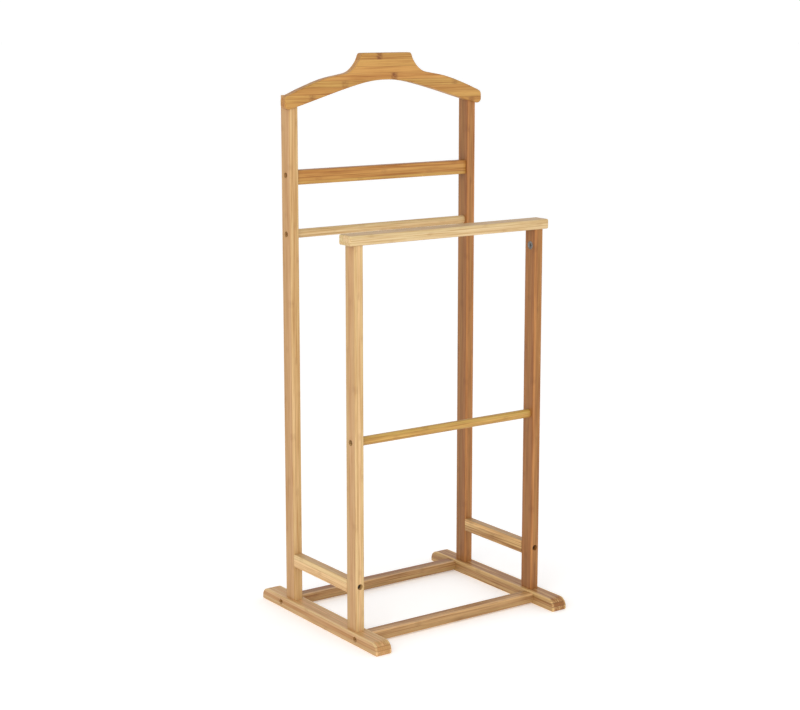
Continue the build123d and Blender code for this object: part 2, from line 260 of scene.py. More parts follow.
@dataclass(frozen=True)
class BambooFinish:
    """Laminated bamboo: strips glued edge to edge, sanded flush and lacquered satin.

    The eye sees straight strips of different shade, dark fibre dashes along them, a growth
    node across each strip every 200 to 300 mm, hairline joints, and a soft sheen. Sizes in
    threes are along, across and through the member.
    """

    light: str
    dark: str
    fibre: str
    knot: str
    blush: str = "#fff4ef"
    olive: str = "#f7f8ef"
    spread: float = 0.24
    drift_tone: float = 0.16
    streak_tone: float = 0.42
    drift_mm: Sizes = (150.0, 7.0, 7.0)
    streak_mm: Sizes = (110.0, 2.2, 2.2)
    dash_mm: Sizes = (22.0, 0.6, 0.6)  # vascular bundles of 0.3 mm, coarse so that they show
    mottle_mm: Sizes = (5.0, 3.2, 3.2)
    strip_jump_mm: Sizes = (90.0, 40.0, 40.0)
    knot_gap_mm: float = 245.0
    knot_wave_mm: float = 5.0
    knot_jitter: float = 0.03
    ply_shift: float = 0.37
    strip_seam: float = 0.38
    end_stain: float = 0.1
    roughness: float = 0.48
    gloss: float = 0.34
    coat: float = 0.1
    coat_roughness: float = 0.32
    relief: float = 0.22
    relief_mm: float = 0.06

    def material(self, name: str, layup: Layup, low: Vector, high: Vector) -> bpy.types.Material:
        """Makes the finish for one member.

        Args:
            name: The material's name.
            layup: How the member is glued up.
            low: The member's lowest corner, in metres.
            high: Its highest corner, in metres.

        Returns:
            The material.
        """
        material = blank_material(name)
        tree = material.node_tree
        size = (high - low) / MM
        seed = float(sum(ord(c) * (i + 3) for i, c in enumerate(name)) % 97)

        # the member's own millimetres, from its lowest corner
        coords = add_node(tree, "ShaderNodeTexCoord")
        local = add_node(
            tree,
            "ShaderNodeVectorMath",
            {0: coords.outputs["Object"], 1: (1 / MM, 1 / MM, 1 / MM), 2: tuple(-low / MM)},
            operation="MULTIPLY_ADD",
        )
        parts = add_node(tree, "ShaderNodeSeparateXYZ", {0: local.outputs[0]})
        along = parts.outputs[layup.grain.value]
        across = parts.outputs[layup.across.value]
        depth = parts.outputs[layup.depth.value]
        total = size[layup.across.value]
        thick = size[layup.depth.value]
        width = total / len(layup.strips)

        # which strip and ply a point is in, and that strip's own random numbers
        share = add_node(tree, "ShaderNodeMath", {0: across, 1: width}, operation="DIVIDE")
        strip_no = add_node(tree, "ShaderNodeMath", {0: share.outputs[0]}, operation="FLOOR")
        strips = self._table(tree, across, total, layup.strip_rows())
        plies = self._table(tree, depth, thick, layup.ply_rows())
        cell = add_node(
            tree, "ShaderNodeCombineXYZ", {0: strip_no.outputs[0], 1: plies.outputs[1], 2: seed}
        )
        chance = add_node(tree, "ShaderNodeTexWhiteNoise", {"Vector": cell.outputs[0]})
        rolls = add_node(tree, "ShaderNodeSeparateColor", {0: chance.outputs["Color"]})

        # fibres follow the grain: long along it and fine across it
        base = add_node(tree, "ShaderNodeCombineXYZ", {0: along, 1: across, 2: depth})
        jump = add_node(
            tree,
            "ShaderNodeVectorMath",
            {0: chance.outputs["Color"], 1: self.strip_jump_mm, 2: base.outputs[0]},
            operation="MULTIPLY_ADD",
        )
        noises = []
        for grain_mm, detail in (
            (self.drift_mm, 2.0),
            (self.streak_mm, 3.0),
            (self.dash_mm, 2.0),
            (self.mottle_mm, 2.0),
        ):
            scale = tuple(1 / g for g in grain_mm)
            scaled = add_node(
                tree, "ShaderNodeVectorMath", {0: jump.outputs[0], 1: scale}, operation="MULTIPLY"
            )
            noise = add_node(
                tree,
                "ShaderNodeTexNoise",
                {"Vector": scaled.outputs[0], "Scale": 1.0, "Detail": detail, "Roughness": 0.55},
            )
            noises.append(noise.outputs[0])
        drift, streak, dash, mottle = noises

        given = (strips.outputs[0], plies.outputs[0])
        tone = self._tone(tree, given, rolls.outputs[0], drift, streak)
        mixed = add_node(
            tree,
            "ShaderNodeMix",
            {0: tone, MIX_A: srgb(self.light), MIX_B: srgb(self.dark)},
            **COLOURS,
        )
        colour = self._tint(tree, mixed.outputs[MIX_OUT], rolls.outputs[2], drift)
        streaks = add_node(
            tree, "ShaderNodeMapRange", {0: streak, 1: 0.50, 2: 0.74, 3: 0.0, 4: 0.55}, **SOFT_STEP
        )
        dashes = add_node(
            tree, "ShaderNodeMapRange", {0: dash, 1: 0.58, 2: 0.72, 3: 0.0, 4: 0.38}, **SOFT_STEP
        )
        knots = self._knots(tree, along, strips, rolls.outputs[1], plies.outputs[1], mottle)
        seams = self._seams(tree, across, width, depth, thick, layup)
        ends = self._end_grain(tree, coords, layup.grain)
        for layer, code in (
            (streaks.outputs[0], self.fibre),
            (dashes.outputs[0], self.fibre),
            (knots, self.knot),
            (seams, self.knot),
            (ends, self.fibre),
        ):
            mixed = add_node(
                tree, "ShaderNodeMix", {0: layer, MIX_A: colour, MIX_B: srgb(code)}, **COLOURS
            )
            colour = mixed.outputs[MIX_OUT]

        rough = add_node(
            tree,
            "ShaderNodeMapRange",
            {0: streak, 1: 0.3, 2: 0.7, 3: self.roughness - 0.06, 4: self.roughness + 0.08},
        )
        # the dashes are sunk a little and the streaks stand up
        relief = add_node(
            tree,
            "ShaderNodeMath",
            {0: dashes.outputs[0], 1: -0.8, 2: streak},
            operation="MULTIPLY_ADD",
        )
        bump = add_node(
            tree,
            "ShaderNodeBump",
            {"Strength": self.relief, "Distance": self.relief_mm * MM, "Height": relief.outputs[0]},
        )
        shader = add_node(
            tree,
            "ShaderNodeBsdfPrincipled",
            {
                "Base Color": colour,
                "Roughness": rough.outputs[0],
                "Normal": bump.outputs[0],
                "IOR": WOOD_IOR,
                "Specular IOR Level": self.gloss,
                "Coat Weight": self.coat,
                "Coat Roughness": self.coat_roughness,
            },
        )
        add_node(tree, "ShaderNodeOutputMaterial", {0: shader.outputs[0]})
        return material

    @staticmethod
    def _table(tree: Tree, place: Socket, total: float, rows: list[Stop]) -> bpy.types.Node:
        """Looks up the values that hold at a place.

        Args:
            tree: The node tree.
            place: A distance across or through the member, in millimetres.
            total: The member's whole size that way.
            rows: Where each row of values starts, as a share of that size, and the values.

        Returns:
            The node that gives the first three values as red, green and blue.
        """
        share = add_node(tree, "ShaderNodeMath", {0: place, 1: total}, operation="DIVIDE")
        # a ramp keeps at least two stops, so a lone row is given twice
        stops = rows if len(rows) > 1 else [*rows, (1.0, rows[0][1])]
        ramp = add_node(tree, "ShaderNodeValToRGB", {0: share.outputs[0]}, stops=stops)
        ramp.color_ramp.interpolation = "CONSTANT"
        return add_node(tree, "ShaderNodeSeparateColor", {0: ramp.outputs[0]})

    def _tone(
        self, tree: Tree, given: tuple[Socket, Socket], roll: Socket, drift: Socket, streak: Socket
    ) -> Socket:
        """Works out a point's shade, from light at 0 to dark at 1.

        Args:
            tree: The node tree.
            given: The strip's shade and the ply's.
            roll: The strip's own random number.
            drift: Slow noise along the strip.
            streak: Fine noise along it.

        Returns:
            The shade.
        """
        total = add_node(tree, "ShaderNodeMath", {0: given[0], 1: given[1]}, operation="ADD")
        for source, low, high, reach in (
            (roll, 0.0, 1.0, self.spread / 2),
            (drift, 0.3, 0.7, self.drift_tone),
            (streak, 0.3, 0.7, self.streak_tone),
        ):
            change = add_node(
                tree, "ShaderNodeMapRange", {0: source, 1: low, 2: high, 3: -reach, 4: reach}
            )
            both = {0: total.outputs[0], 1: change.outputs[0]}
            total = add_node(tree, "ShaderNodeMath", both, operation="ADD")
        return total.outputs[0]

    def _tint(self, tree: Tree, colour: Socket, roll: Socket, drift: Socket) -> Socket:
        """Turns each strip a little towards pink or towards green, as canes differ.

        Args:
            tree: The node tree.
            colour: The colour so far.
            roll: The strip's own random number.
            drift: Slow noise along the strip.

        Returns:
            The tinted colour.
        """
        lean = add_node(
            tree, "ShaderNodeMath", {0: drift, 1: 0.8, 2: roll}, operation="MULTIPLY_ADD"
        )
        share = add_node(
            tree,
            "ShaderNodeMapRange",
            {0: lean.outputs[0], 1: 0.4, 2: 1.4, 3: 0.0, 4: 1.0},
            **SOFT_STEP,
        )
        tint = add_node(
            tree,
            "ShaderNodeMix",
            {0: share.outputs[0], MIX_A: srgb(self.blush), MIX_B: srgb(self.olive)},
            **COLOURS,
        )
        tinted = add_node(
            tree,
            "ShaderNodeMix",
            {0: 1.0, MIX_A: colour, MIX_B: tint.outputs[MIX_OUT]},
            blend_type="MULTIPLY",
            **COLOURS,
        )
        return tinted.outputs[MIX_OUT]

    def _knots(
        self,
        tree: Tree,
        along: Socket,
        strips: bpy.types.Node,
        roll: Socket,
        ply_code: Socket,
        mottle: Socket,
    ) -> Socket:
        """Draws the growth nodes: a thin dark line across the strip in a soft brown stain.

        Args:
            tree: The node tree.
            along: Millimetres along the grain.
            strips: The strip table, which gives a node's place and depth.
            roll: The strip's own random number.
            ply_code: The ply's code. Its nodes fall elsewhere, as it is from another cane.
            mottle: Small noise that bends the line and wears the stain.

        Returns:
            How strongly a growth node shows, from 0 to 1.
        """
        place = strips.outputs[1]
        for value, factor in (
            (ply_code, self.ply_shift / PLY_CODE),
            (roll, self.knot_jitter),
            (along, 1 / self.knot_gap_mm),
            (mottle, self.knot_wave_mm / self.knot_gap_mm),
        ):
            moved = {0: value, 1: factor, 2: place}
            place = add_node(tree, "ShaderNodeMath", moved, operation="MULTIPLY_ADD").outputs[0]
        fold = add_node(tree, "ShaderNodeMath", {0: place, 1: 0.5}, operation="PINGPONG")
        off = {0: fold.outputs[0], 1: self.knot_gap_mm}
        off_mm = add_node(tree, "ShaderNodeMath", off, operation="MULTIPLY").outputs[0]
        line = add_node(
            tree, "ShaderNodeMapRange", {0: off_mm, 1: 0.6, 2: 2.2, 3: 0.3, 4: 0.0}, **SOFT_STEP
        )
        stain = add_node(
            tree, "ShaderNodeMapRange", {0: off_mm, 1: 2.5, 2: 10.0, 3: 0.85, 4: 0.0}, **SOFT_STEP
        )
        worn = add_node(
            tree, "ShaderNodeMapRange", {0: mottle, 1: 0.30, 2: 0.62, 3: 0.35, 4: 1.0}, **SOFT_STEP
        )
        both = {0: line.outputs[0], 1: stain.outputs[0]}
        shown = add_node(tree, "ShaderNodeMath", both, operation="ADD", use_clamp=True)
        for factor in (worn.outputs[0], strips.outputs[2]):
            both = {0: shown.outputs[0], 1: factor}
            shown = add_node(tree, "ShaderNodeMath", both, operation="MULTIPLY")
        return shown.outputs[0]

    def _seams(
        self, tree: Tree, across: Socket, width: float, depth: Socket, thick: float, layup: Layup
    ) -> Socket:
        """Draws the glue lines between strips, and between plies where there are several.

        They are hairlines, and are drawn 0.5 mm wide and more so that they show.

        Args:
            tree: The node tree.
            across: Millimetres across the strips.
            width: A strip's width.
            depth: Millimetres through the plies.
            thick: The member's thickness.
            layup: How the member is glued up.

        Returns:
            How strongly a glue line shows, from 0 to 1.
        """
        off = add_node(tree, "ShaderNodeMath", {0: across, 1: width / 2}, operation="PINGPONG")
        lines = add_node(
            tree,
            "ShaderNodeMapRange",
            {0: off.outputs[0], 1: 0.1, 2: 0.5, 3: self.strip_seam, 4: 0.0},
            **SOFT_STEP,
        )
        for start in layup.ply_starts()[1:]:
            side = {0: depth, 1: start * thick}
            off = add_node(tree, "ShaderNodeMath", side, operation="SUBTRACT")
            off = add_node(tree, "ShaderNodeMath", {0: off.outputs[0]}, operation="ABSOLUTE")
            layer = add_node(
                tree,
                "ShaderNodeMapRange",
                {0: off.outputs[0], 1: 0.2, 2: 0.8, 3: layup.seam, 4: 0.0},
                **SOFT_STEP,
            )
            both = {0: lines.outputs[0], 1: layer.outputs[0]}
            lines = add_node(tree, "ShaderNodeMath", both, operation="MAXIMUM")
        return lines.outputs[0]

    def _end_grain(self, tree: Tree, coords: bpy.types.Node, grain: Axis) -> Socket:
        """Finds the cut ends, where the open fibres soak up more lacquer.

        Args:
            tree: The node tree.
            coords: The texture coordinates.
            grain: The axis that the fibres run along.

        Returns:
            How strongly a face is stained as an end.
        """
        facing = add_node(tree, "ShaderNodeSeparateXYZ", {0: coords.outputs["Normal"]})
        toward = {0: facing.outputs[grain.value]}
        square = add_node(tree, "ShaderNodeMath", toward, operation="ABSOLUTE")
        stain = add_node(
            tree,
            "ShaderNodeMapRange",
            {0: square.outputs[0], 1: 0.80, 2: 0.97, 3: 0.0, 4: self.end_stain},
            **SOFT_STEP,
        )
        return stain.outputs[0]


@dataclass(frozen=True)
class BeechFinish:
    """Raw beech, turned and fluted for glue: pale pinkish tan with short dark ray flecks."""

    light: str = "#dfc19a"
    fleck: str = "#a97f55"
    fleck_gap_mm: float = 0.9
    roughness: float = 0.72
    relief: float = 0.3
    relief_mm: float = 0.08

    def material(self, name: str) -> bpy.types.Material:
        """Makes the finish.

        Args:
            name: The material's name.

        Returns:
            The material.
        """
        material = blank_material(name)
        tree = material.node_tree
        coords = add_node(tree, "ShaderNodeTexCoord")
        # ray flecks are about 0.5 mm across, one to a cell
        scale = 1 / (self.fleck_gap_mm * MM)
        cells = add_node(
            tree, "ShaderNodeTexVoronoi", {"Vector": coords.outputs["Object"], "Scale": scale}
        )
        flecks = add_node(
            tree,
            "ShaderNodeMapRange",
            {0: cells.outputs["Distance"], 1: 0.12, 2: 0.34, 3: 0.6, 4: 0.0},
            **SOFT_STEP,
        )
        colour = add_node(
            tree,
            "ShaderNodeMix",
            {0: flecks.outputs[0], MIX_A: srgb(self.light), MIX_B: srgb(self.fleck)},
            **COLOURS,
        )
        bump = add_node(
            tree,
            "ShaderNodeBump",
            {"Strength": self.relief, "Distance": self.relief_mm * MM, "Height": flecks.outputs[0]},
        )
        shader = add_node(
            tree,
            "ShaderNodeBsdfPrincipled",
            {
                "Base Color": colour.outputs[MIX_OUT],
                "Roughness": self.roughness,
                "Normal": bump.outputs[0],
                "IOR": WOOD_IOR,
            },
        )
        add_node(tree, "ShaderNodeOutputMaterial", {0: shader.outputs[0]})
        return material


@dataclass(frozen=True)
class MetalFinish:
    """A machined or cast metal: its colour, a darker bloom, and fine tool or sand marks."""

    colour: str
    bloom: str
    roughness: float
    grain_mm: float
    relief: float
    bloom_mm: float = 4.0
    relief_mm: float = 0.03

    def material(self, name: str) -> bpy.types.Material:
        """Makes the finish.

        Args:
            name: The material's name.

        Returns:
            The material.
        """
        material = blank_material(name)
        tree = material.node_tree
        coords = add_node(tree, "ShaderNodeTexCoord")
        noises = []
        for size_mm, detail in ((self.grain_mm, 3.0), (self.bloom_mm, 2.0)):
            noise = add_node(
                tree,
                "ShaderNodeTexNoise",
                {"Vector": coords.outputs["Object"], "Scale": 1 / (size_mm * MM), "Detail": detail},
            )
            noises.append(noise.outputs[0])
        grit, patches = noises
        share = add_node(tree, "ShaderNodeMapRange", {0: patches, 1: 0.35, 2: 0.7, 3: 0.0, 4: 0.6})
        colour = add_node(
            tree,
            "ShaderNodeMix",
            {0: share.outputs[0], MIX_A: srgb(self.colour), MIX_B: srgb(self.bloom)},
            **COLOURS,
        )
        rough = add_node(
            tree,
            "ShaderNodeMapRange",
            {0: grit, 1: 0.3, 2: 0.7, 3: self.roughness - 0.07, 4: self.roughness + 0.09},
        )
        bump = add_node(
            tree,
            "ShaderNodeBump",
            {"Strength": self.relief, "Distance": self.relief_mm * MM, "Height": grit},
        )
        shader = add_node(
            tree,
            "ShaderNodeBsdfPrincipled",
            {
                "Base Color": colour.outputs[MIX_OUT],
                "Metallic": 1.0,
                "Roughness": rough.outputs[0],
                "Normal": bump.outputs[0],
            },
        )
        add_node(tree, "ShaderNodeOutputMaterial", {0: shader.outputs[0]})
        return material


ZINC_PLATE = MetalFinish("#b4b6b6", "#96989b", 0.34, 0.25, 0.15)
# the bolt steel is darkened so that the heads read as the shade deep in their counterbores: painted
# shade
BLACK_OXIDE_AND_SHADE = MetalFinish("#4e4a47", "#37322f", 0.42, 0.25, 0.2)
BRASS = MetalFinish("#c8a25c", "#a9823f", 0.32, 0.3, 0.15)
# the cam zinc is darker than bare die-cast zinc: painted shade
DIE_CAST_AND_SHADE = MetalFinish("#8b8986", "#6c6966", 0.48, 0.18, 0.4)

# natural bamboo is straw to honey; steamed bamboo is caramel right through
BLOND = BambooFinish("#dcc89b", "#c19c62", "#ac834b", "#98693c")
STRAW = BambooFinish("#dfbf8d", "#bf925a", "#a97b45", "#8b5a2c")
HONEY = BambooFinish("#dcb87e", "#93602c", "#875829", "#68401b")
CARAMEL = BambooFinish("#b88347", "#8e5725", "#7d4b1e", "#5d310e")
GOLD = BambooFinish("#c99c53", "#a36825", "#8f5a20", "#763f13")
WHEAT = BambooFinish("#ceab5d", "#a9742c", "#956526", "#7a4717")


# ---- members -------------------------------------------------------------------------------
@dataclass
class Member:
    """A timber member: a CAD node, with the finish and layup that it is dressed in."""

    node: str
    finish: BambooFinish
    layup: Layup

    def dress(self, frame: dict[str, Any]) -> None:
        """Gives the CAD node its bamboo.

        Args:
            frame: The loaded frame.
        """
        low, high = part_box(self.node)
        material = self.finish.material(f"bamboo_{self.node}", self.layup, low, high)
        for slot in frame["nodes"][self.node].material_slots:
            slot.material = material
        LOG.info("%s dressed in %s strips", self.node, len(self.layup.strips))


@dataclass
class Base:
    """The foot rails, three plies each, and the stretchers between them."""

    left_plies: tuple[float, ...] = (0.1, 0.75, 0.0)
    right_plies: tuple[float, ...] = (0.0, 0.55, 0.0)
    foot_shares: tuple[float, ...] = (0.42, 0.29, 0.29)
    foot_seam: float = 0.7
    members: list[Member] = field(default_factory=list)

    def __post_init__(self) -> None:
        """Lays out the base's four members."""
        # narrow strips on edge: a pale one down each side and darker ones between; the darker
        # middle strips are partly the strips' own tone and partly painted shade, darkening the top
        # faces
        pale_edges_shaded_middle = (
            Strip(0.0, 0.31),
            Strip(0.7, 0.74),
            Strip(0.8, 0.05),
            Strip(0.6, 0.52),
            Strip(0.75, 0.2),
            Strip(0.85, 0.88),
            Strip(0.1, 0.4),
        )
        split = {"shares": self.foot_shares, "seam": self.foot_seam}
        left = Layup(Axis.Y, Axis.X, pale_edges_shaded_middle, self.left_plies, **split)
        right = Layup(Axis.Y, Axis.X, pale_edges_shaded_middle, self.right_plies, **split)
        # the pale first strip makes the front face and the darker strips behind it make the top
        # face: painted shade on the top, partly the strips' own tone
        front = Layup(
            Axis.X, Axis.Y, (Strip(0.12, 0.2), Strip(0.65, 0.62), Strip(0.8, 0.9)), (0.1, 0.0)
        )
        # as at the front, the darker strips that make the top face carry painted shade as well as
        # their own tone
        rear = Layup(
            Axis.X, Axis.Y, (Strip(0.25, 0.45), Strip(0.8, 0.1), Strip(0.95, 0.7)), (0.1, 0.1)
        )
        self.members = [
            Member("foot_rail_left", STRAW, left),
            Member("foot_rail_right", HONEY, right),
            Member("base_stretcher_front", HONEY, front),
            Member("base_stretcher_rear", HONEY, rear),
        ]


@dataclass
class Uprights:
    """The four posts and the side rails that join them in pairs."""

    members: list[Member] = field(default_factory=list)

    def __post_init__(self) -> None:
        """Lays out the posts and side rails."""
        front_left = (Strip(0.25, 0.2), Strip(0.2, 0.55), Strip(0.45, 0.85))
        # the rear left post's strips are darker than the front left post's: painted shade, not a
        # different wood
        rear_left_shaded = (Strip(0.45, 0.7), Strip(0.65, 0.15), Strip(0.6, 0.4))
        front_right = (Strip(0.2, 0.35), Strip(0.55, 0.8), Strip(0.35, 0.1))
        rear_right = (Strip(0.3, 0.5), Strip(0.45, 0.9), Strip(0.3, 0.25))
        rail = (Strip(0.5, 0.1), Strip(0.25, 0.62), Strip(0.1, 0.35))
        side_plies = (0.0, 0.16, 0.05)
        self.members = [
            Member("front_post_left", STRAW, Layup(Axis.Z, Axis.X, front_left, side_plies)),
            Member("rear_post_left", STRAW, Layup(Axis.Z, Axis.X, rear_left_shaded, side_plies)),
            Member("front_post_right", CARAMEL, Layup(Axis.Z, Axis.X, front_right, side_plies)),
            Member("rear_post_right", CARAMEL, Layup(Axis.Z, Axis.X, rear_right, side_plies)),
            Member("side_rail_left", STRAW, Layup(Axis.Y, Axis.Z, rail, (0.0, 0.1))),
            Member("side_rail_right", HONEY, Layup(Axis.Y, Axis.Z, rail, (0.15, 0.0))),
        ]


@dataclass
class Crosspieces:
    """The trouser bar, the two rods, the cross rail and the hanger."""

    members: list[Member] = field(default_factory=list)

    def __post_init__(self) -> None:
        """Lays out the crosspieces."""
        bar = (Strip(0.35, 0.62), Strip(0.1, 0.3), Strip(0.3, 0.8))
        rod = (Strip(0.45, 0.2), Strip(0.2, 0.66), Strip(0.3, 0.4))
        rail = (Strip(0.25, 0.42), Strip(0.45, 0.8), Strip(0.2, 0.2), Strip(0.55, 0.55))
        board = (
            Strip(0.45, 0.30, 0.6),
            Strip(0.35, 0.75, 0.5),
            Strip(0.5, 0.12, 0.8),
            Strip(0.3, 0.45, 0.5),
            Strip(0.4, 0.02, 0.95),
            Strip(0.12, 0.60, 0.3),
            Strip(0.16, 0.40, 0.3),
            Strip(0.5, 0.16, 0.95),
        )
        self.members = [
            Member("trouser_bar", BLOND, Layup(Axis.X, Axis.Z, bar, (0.0, 0.12, 0.0, 0.2, 0.1))),
            Member("front_rod", WHEAT, Layup(Axis.X, Axis.Z, rod, (0.0, 0.1))),
            Member("rear_rod", BLOND, Layup(Axis.X, Axis.Z, rod, (0.1, 0.0))),
            Member("cross_rail", GOLD, Layup(Axis.X, Axis.Z, rail, (0.05, 0.0, 0.1))),
            Member("hanger", GOLD, Layup(Axis.X, Axis.Z, board, (0.0, 0.2, 0.1))),
        ]


# ---- fittings ------------------------------------------------------------------------------
@dataclass(frozen=True)
class Spot:
    """Where one fitting sits: its first end, the unit vector to its other end, its length."""

    start: Vector
    axis: Vector
    length: float

    def matrix(self) -> Matrix:
        """Turns a template in millimetres, standing on the origin along +Z, into this place."""
        turn = Vector((0, 0, 1)).rotation_difference(self.axis).to_matrix().to_4x4()
        return Matrix.Translation(self.start) @ turn @ Matrix.Scale(MM, 4)


def find_spots(node: bpy.types.Object, first: Span, axis: Axis | None) -> list[Spot]:
    """Finds where each solid of a CAD node of identical fittings sits.

    Args:
        node: The CAD node.
        first: Which end of a fitting its axis starts from.
        axis: The fittings' axis, or None where it is their longest side.

    Returns:
        One spot for each solid, in a fixed order.
    """
    shape = bmesh.new()
    shape.from_mesh(node.data)
    bmesh.ops.remove_doubles(shape, verts=shape.verts, dist=MM / 1000)
    unseen = set(shape.verts)
    spots = []
    while unseen:
        stack = [unseen.pop()]
        solid = []
        while stack:
            vert = stack.pop()
            solid.append(vert.co.copy())
            for edge in vert.link_edges:
                other = edge.other_vert(vert)
                if other in unseen:
                    unseen.remove(other)
                    stack.append(other)
        spots.append(_spot(solid, first, axis))
    shape.free()
    return sorted(spots, key=lambda s: tuple(round(c, 5) for c in s.start))


def _spot(solid: list[Vector], first: Span, axis: Axis | None) -> Spot:
    """Works out where one solid sits.

    Args:
        solid: Its points.
        first: Which end its axis starts from.
        axis: Its axis, or None where it is its longest side.

    Returns:
        Its spot.
    """
    low = Vector([min(p[i] for p in solid) for i in range(3)])
    high = Vector([max(p[i] for p in solid) for i in range(3)])
    size = high - low
    index = axis.value if axis else max(range(3), key=lambda i: size[i])
    middle = (low + high) / 2
    reach = 0.35 * MM

    def end_radius(at: float) -> float:
        """How far the points near an end are from the fitting's axis."""
        near = [p - middle for p in solid if abs(p[index] - at) < reach]
        return max(math.hypot(*(v[i] for i in range(3) if i != index)) for v in near)

    low_first = end_radius(low[index]) > end_radius(high[index])
    if first is Span.NARROW_END:
        low_first = not low_first
    if first is Span.INNER_END:
        low_first = abs(low[index]) < abs(high[index])
    start, direction = middle.copy(), Vector((0, 0, 0))
    start[index] = low[index] if low_first else high[index]
    direction[index] = 1.0 if low_first else -1.0
    return Spot(start, direction, size[index] / MM)


def ring(shape: Shape, radius: float, height: float, sides: int) -> Edges:
    """Adds an open ring of edges round the axis.

    Args:
        shape: The mesh to add to.
        radius: The ring's radius.
        height: Its place along the axis.
        sides: How many edges it has.

    Returns:
        The ring's edges.
    """
    place = Matrix.Translation((0, 0, height))
    made = bmesh.ops.create_circle(shape, segments=sides, radius=radius, matrix=place)
    return list({edge for vert in made["verts"] for edge in vert.link_edges})


def hex_ring(shape: Shape, flats: float, height: float, sides: int) -> Edges:
    """Adds a hexagon of edges, divided to the same number of edges as a ring.

    Args:
        shape: The mesh to add to.
        flats: The hexagon's width across its flats.
        height: Its place along the axis.
        sides: How many edges it ends with, a multiple of 6.

    Returns:
        The hexagon's edges.
    """
    edges = ring(shape, flats / math.sqrt(3), height, 6)
    cut = bmesh.ops.subdivide_edges(shape, edges=edges, cuts=sides // 6 - 1)
    verts = {g for g in cut["geom"] if isinstance(g, bmesh.types.BMVert)}
    return list({e for g in verts for e in g.link_edges})


def loft(shape: Shape, rings: list[Edges]) -> None:
    """Joins rings into a closed skin with its faces outwards.

    Args:
        shape: The mesh, which holds nothing but the rings.
        rings: The rings, from one end to the other.
    """
    for below, above in zip(rings, rings[1:]):
        bmesh.ops.bridge_loops(shape, edges=below + above)
    for end in (rings[0], rings[-1]):
        bmesh.ops.contextual_create(shape, geom=end)
    bmesh.ops.recalc_face_normals(shape, faces=shape.faces)


def flute(shape: Shape, edges: Edges, share: float) -> None:
    """Draws every second point of a ring in towards the axis.

    Args:
        shape: The mesh.
        edges: The ring's edges.
        share: How much of its radius a drawn point keeps.
    """
    points = {v for e in edges for v in e.verts}
    verts = sorted(points, key=lambda v: math.atan2(v.co.y, v.co.x))
    bmesh.ops.scale(shape, vec=(share, share, 1.0), verts=verts[::2])


def merge_into(shape: Shape, part: Shape) -> None:
    """Copies one mesh into another and frees it.

    Args:
        shape: The mesh to add to.
        part: The mesh to add.
    """
    mesh = bpy.data.meshes.new("part")
    part.to_mesh(mesh)
    part.free()
    shape.from_mesh(mesh)
    bpy.data.meshes.remove(mesh)


@dataclass
class Thread:
    """A metric thread: a V profile swept along a helix and cut square at both ends.

    The helix starts and ends past the cuts, by whole turns and a little more, so that its
    loose edges are cut away and no point lies on a cut.
    """

    outer_r: float = 3.0
    root_r: float = 2.45
    pitch: float = 1.0
    steps: int = 16
    spare_turns: int = 2
    offset: float = 0.03
    weld: float = 0.01

    def build(self, shape: Shape, start: float, end: float) -> None:
        """Adds the thread to a mesh, as a closed shell.

        Args:
            shape: The mesh to add to.
            start: Where the thread starts along the axis.
            end: Where it ends.
        """
        part = bmesh.new()
        turns = math.ceil((end - start) / self.pitch) + 2 * self.spare_turns
        low = start - (self.spare_turns + self.offset) * self.pitch
        profile = [
            part.verts.new((self.root_r, 0.0, low)),
            part.verts.new((self.outer_r, 0.0, low + self.pitch / 2)),
            part.verts.new((self.root_r, 0.0, low + self.pitch)),
        ]
        edges = [part.edges.new(profile[:2]), part.edges.new(profile[1:])]
        bmesh.ops.spin(
            part,
            geom=profile + edges,
            cent=(0, 0, 0),
            axis=(0, 0, 1),
            dvec=(0, 0, self.pitch / self.steps),
            angle=math.tau * turns,
            steps=self.steps * turns,
            use_duplicate=False,
        )
        bmesh.ops.remove_doubles(part, verts=part.verts, dist=self.weld)
        for height, facing in ((start, -1), (end, 1)):
            cut = bmesh.ops.bisect_plane(
                part,
                geom=part.verts[:] + part.edges[:] + part.faces[:],
                plane_co=(0, 0, height),
                plane_no=(0, 0, facing),
                clear_outer=True,
            )
            rim = [g for g in cut["geom_cut"] if isinstance(g, bmesh.types.BMEdge)]
            bmesh.ops.holes_fill(part, edges=rim, sides=0)
        bmesh.ops.recalc_face_normals(part, faces=part.faces)
        merge_into(shape, part)


